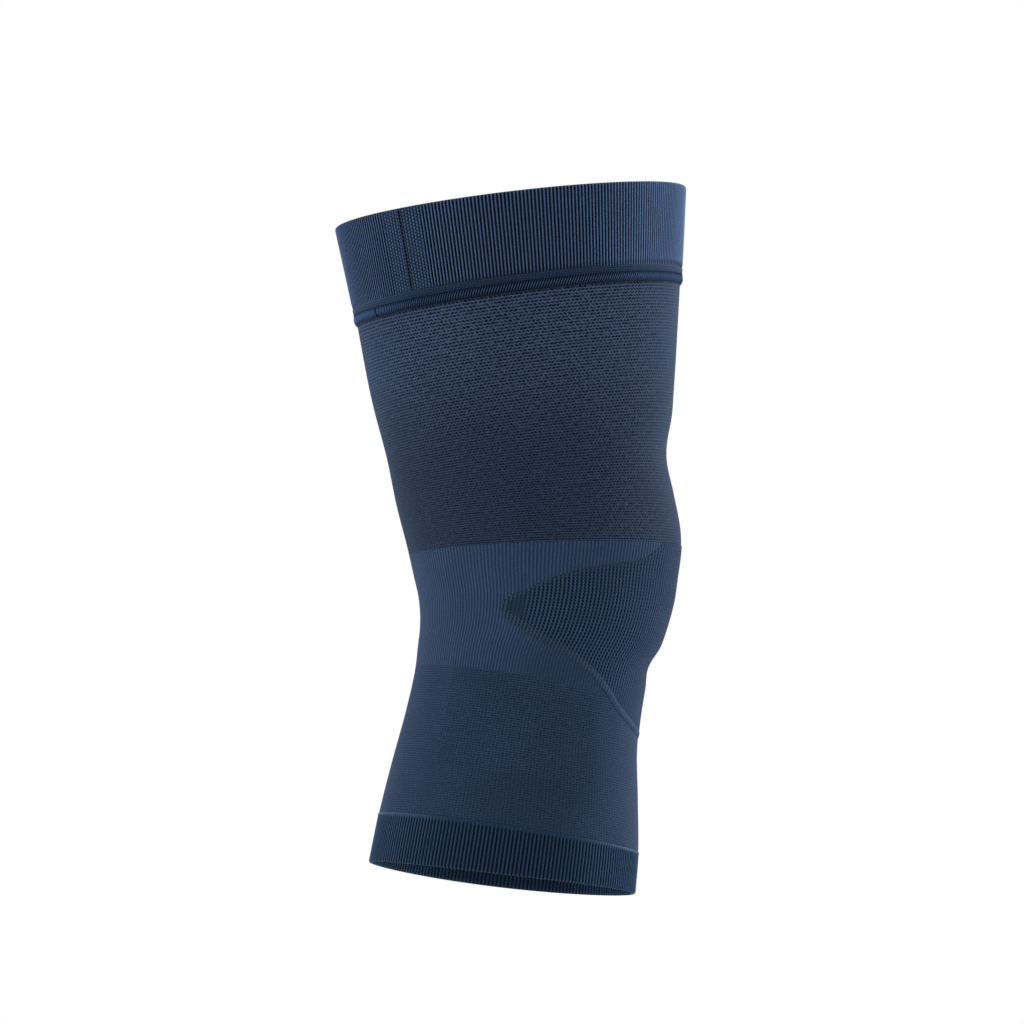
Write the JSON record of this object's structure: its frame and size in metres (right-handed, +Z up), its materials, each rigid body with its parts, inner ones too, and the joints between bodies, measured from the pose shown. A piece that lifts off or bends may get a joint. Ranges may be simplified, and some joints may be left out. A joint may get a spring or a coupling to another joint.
{
  "type": "knitted knee sleeve",
  "caption": "Knitted knee support sleeve, a tapered tube bent slightly at the knee, with ribbed top and bottom cuffs, an overlocked joining seam and a raised kite-shaped patella panel in front.",
  "frame": {"origin": "middle of the knee, inside the sleeve, level with the middle of the kneecap", "axes": "+Z up along the leg towards the thigh opening, -Y towards the front of the knee, X across the leg; the cuff's closing seam is on the -X side at the back"},
  "size_m": [0.1436, 0.1477, 0.2978],
  "materials": {
    "cuff_rib": "ribbed nylon and elastane knit, doubled, dark navy with lighter rib crests",
    "seam_thread": "textured polyamide overlock thread, navy",
    "mesh_knit": "fine mesh knit with staggered short dark dashes, matt navy",
    "knee_rib": "fine vertical rib knit, lighter navy",
    "patella_rib": "open rib knit with small eyelets between the wales, dark navy",
    "border_knit": "plain dense raised knit, navy",
    "fine_knit": "fine plain knit in close rows, matt navy",
    "hem_rib": "ribbed nylon and elastane knit, very dark navy"
  },
  "bodies": {
    "root": {"top_cuff": "cuff_rib", "cuff_closing_seam": "seam_thread", "cuff_joining_seam": "seam_thread", "thigh_panel": "mesh_knit", "knee_panel": "knee_rib", "patella_panel": "patella_rib", "patella_border": "border_knit", "shin_panel": "fine_knit", "bottom_cuff": "hem_rib"}
  },
  "joints": []
}
